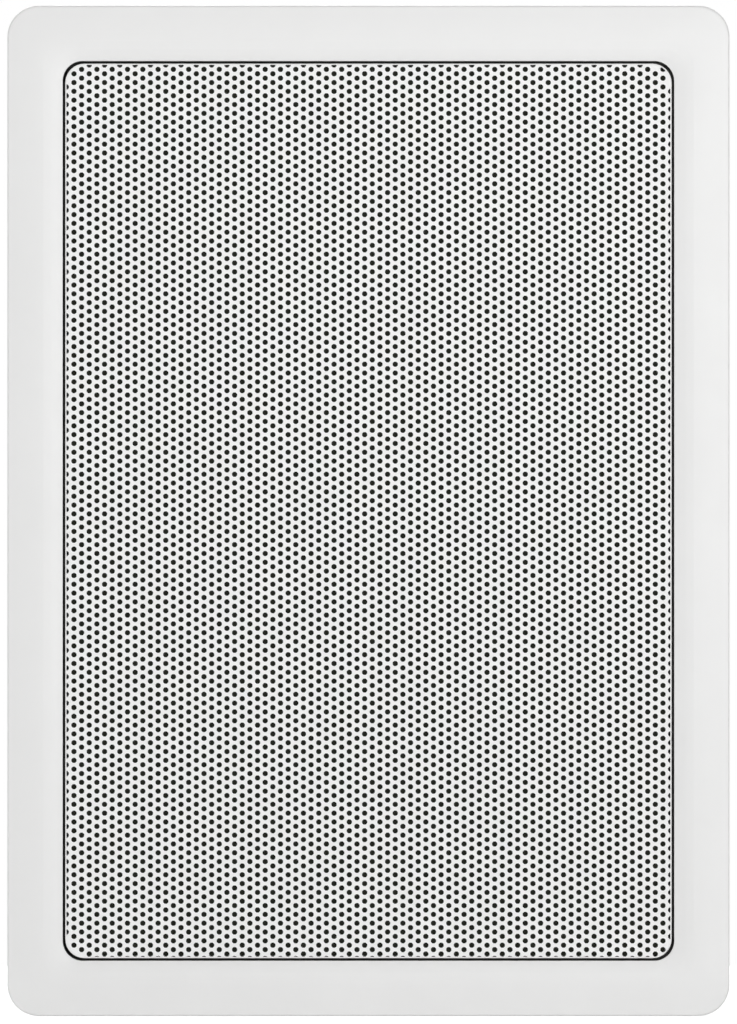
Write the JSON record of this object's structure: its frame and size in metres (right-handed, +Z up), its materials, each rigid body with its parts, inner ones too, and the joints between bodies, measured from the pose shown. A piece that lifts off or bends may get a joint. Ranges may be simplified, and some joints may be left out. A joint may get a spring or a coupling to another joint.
{
  "type": "in-wall loudspeaker",
  "caption": "Rectangular in-wall loudspeaker with a moulded flange, a perforated grille, woofer, tweeter and turn-out clamps.",
  "frame": {"origin": "middle of the flange's back face, in the plane of the wall", "axes": "+Z up, +X to the right seen from the room, -Y out into the room"},
  "size_m": [0.218, 0.0806, 0.305],
  "materials": {
    "frame": "satin moulded white",
    "grille": "white powder coat",
    "cloth": "black woven scrim",
    "black_steel": "black coat",
    "zinc": "zinc plated",
    "ferrite": "ground ferrite",
    "paper": "pressed black paper",
    "rubber": "matt",
    "spider": "treated cloth",
    "former": "thin foil",
    "copper": "enamelled wire",
    "brass": "plain",
    "phenolic": "laminate",
    "black_plastic": "moulded",
    "red_plastic": "moulded",
    "board": "solder mask",
    "capacitor": "film sleeve",
    "ceramic": "cement body",
    "neodymium": "nickel plated",
    "silk": "coated silk",
    "wire": "insulated wire"
  },
  "bodies": {
    "frame": {"frame": "frame", "grille": "grille", "grille_cloth": "cloth", "woofer_basket": "black_steel", "woofer_gasket": "rubber", "woofer_front_plate": "zinc", "woofer_magnet": "ferrite", "woofer_back_plate": "zinc", "woofer_screws": "black_steel", "woofer_terminal_strip": "phenolic", "woofer_tags": "brass", "tweeter_faceplate": "black_plastic", "tweeter_front_plate": "zinc", "tweeter_pole_plate": "zinc", "tweeter_magnet": "neodymium", "tweeter_cup": "zinc", "tweeter_terminal_strip": "phenolic", "tweeter_screws": "black_steel", "crossover_board": "board", "inductor_bobbin": "black_plastic", "inductor_winding": "copper", "capacitors": "capacitor", "resistor": "ceramic", "board_screws": "zinc", "terminal_block": "black_plastic", "contact_strips": "brass", "block_screws": "zinc", "input_wires": "wire", "woofer_wires": "wire", "tweeter_wires": "wire", "screw_retainers": "zinc"},
    "woofer_cone": {"woofer_cone": "paper", "woofer_dust_cap": "paper", "voice_coil_former": "former", "voice_coil_winding": "copper", "woofer_surround": "rubber", "woofer_spider": "spider", "tinsel_leads": "copper"},
    "tweeter_dome": {"tweeter_dome": "silk", "tweeter_coil": "copper", "tweeter_surround": "rubber"},
    "button_red": {"button_red": "red_plastic", "button_spring_red": "zinc"},
    "button_black": {"button_black": "black_plastic", "button_spring_black": "zinc"},
    "clamp_screw_upper_left": {"clamp_screw_upper_left": "zinc"},
    "clamp_nut_upper_left": {"clamp_nut_upper_left": "brass"},
    "clamp_arm_upper_left": {"clamp_arm_upper_left": "black_plastic"},
    "clamp_screw_upper_right": {"clamp_screw_upper_right": "zinc"},
    "clamp_nut_upper_right": {"clamp_nut_upper_right": "brass"},
    "clamp_arm_upper_right": {"clamp_arm_upper_right": "black_plastic"},
    "clamp_screw_lower_left": {"clamp_screw_lower_left": "zinc"},
    "clamp_nut_lower_left": {"clamp_nut_lower_left": "brass"},
    "clamp_arm_lower_left": {"clamp_arm_lower_left": "black_plastic"},
    "clamp_screw_lower_right": {"clamp_screw_lower_right": "zinc"},
    "clamp_nut_lower_right": {"clamp_nut_lower_right": "brass"},
    "clamp_arm_lower_right": {"clamp_arm_lower_right": "black_plastic"}
  },
  "joints": [
    {"name": "woofer_cone_travel", "type": "slide", "parent": "frame", "child": "woofer_cone", "axis": [0, -1, 0], "range_m": [-0.004, 0.004], "stiffness_N_per_m": 1800, "deforming": ["woofer_surround", "woofer_spider", "tinsel_leads"]},
    {"name": "tweeter_dome_travel", "type": "slide", "parent": "frame", "child": "tweeter_dome", "axis": [0, -1, 0], "range_m": [-0.0003, 0.0003], "stiffness_N_per_m": 4000, "deforming": ["tweeter_surround"]},
    {"name": "button_red_press", "type": "slide", "parent": "frame", "child": "button_red", "axis": [0, -1, 0], "range_m": [0, 0.003], "stiffness_N_per_m": 400, "springref_m": -0.002, "deforming": ["button_spring_red"]},
    {"name": "button_black_press", "type": "slide", "parent": "frame", "child": "button_black", "axis": [0, -1, 0], "range_m": [0, 0.003], "stiffness_N_per_m": 400, "springref_m": -0.002, "deforming": ["button_spring_black"]},
    {"name": "clamp_slide_upper_left", "type": "slide", "parent": "frame", "child": "clamp_nut_upper_left", "axis": [0, -1, 0], "range_m": [0, 0.031]},
    {"name": "clamp_swing_upper_left", "type": "hinge", "parent": "clamp_nut_upper_left", "child": "clamp_arm_upper_left", "pos_m": [-0.0833, 0.045, 0.1118], "axis": [0, 1, 0], "range_deg": [0, 90]},
    {"name": "clamp_turn_upper_left", "type": "hinge", "parent": "frame", "child": "clamp_screw_upper_left", "pos_m": [-0.0833, 0.045, 0.1118], "axis": [0, 1, 0], "range_deg": [0, 7973]},
    {"name": "clamp_slide_upper_right", "type": "slide", "parent": "frame", "child": "clamp_nut_upper_right", "axis": [0, -1, 0], "range_m": [0, 0.031]},
    {"name": "clamp_swing_upper_right", "type": "hinge", "parent": "clamp_nut_upper_right", "child": "clamp_arm_upper_right", "pos_m": [0.0833, 0.045, 0.1118], "axis": [0, -1, 0], "range_deg": [0, 90]},
    {"name": "clamp_turn_upper_right", "type": "hinge", "parent": "frame", "child": "clamp_screw_upper_right", "pos_m": [0.0833, 0.045, 0.1118], "axis": [0, 1, 0], "range_deg": [0, 7973]},
    {"name": "clamp_slide_lower_left", "type": "slide", "parent": "frame", "child": "clamp_nut_lower_left", "axis": [0, -1, 0], "range_m": [0, 0.031]},
    {"name": "clamp_swing_lower_left", "type": "hinge", "parent": "clamp_nut_lower_left", "child": "clamp_arm_lower_left", "pos_m": [-0.0833, 0.045, -0.1118], "axis": [0, -1, 0], "range_deg": [0, 90]},
    {"name": "clamp_turn_lower_left", "type": "hinge", "parent": "frame", "child": "clamp_screw_lower_left", "pos_m": [-0.0833, 0.045, -0.1118], "axis": [0, 1, 0], "range_deg": [0, 7973]},
    {"name": "clamp_slide_lower_right", "type": "slide", "parent": "frame", "child": "clamp_nut_lower_right", "axis": [0, -1, 0], "range_m": [0, 0.031]},
    {"name": "clamp_swing_lower_right", "type": "hinge", "parent": "clamp_nut_lower_right", "child": "clamp_arm_lower_right", "pos_m": [0.0833, 0.045, -0.1118], "axis": [0, 1, 0], "range_deg": [0, 90]},
    {"name": "clamp_turn_lower_right", "type": "hinge", "parent": "frame", "child": "clamp_screw_lower_right", "pos_m": [0.0833, 0.045, -0.1118], "axis": [0, 1, 0], "range_deg": [0, 7973]}
  ],
  "couplings": [
    {"joint": "clamp_turn_upper_left", "follows": "clamp_slide_upper_left", "rad_per_m": 4488},
    {"joint": "clamp_turn_upper_right", "follows": "clamp_slide_upper_right", "rad_per_m": 4488},
    {"joint": "clamp_turn_lower_left", "follows": "clamp_slide_lower_left", "rad_per_m": 4488},
    {"joint": "clamp_turn_lower_right", "follows": "clamp_slide_lower_right", "rad_per_m": 4488}
  ]
}
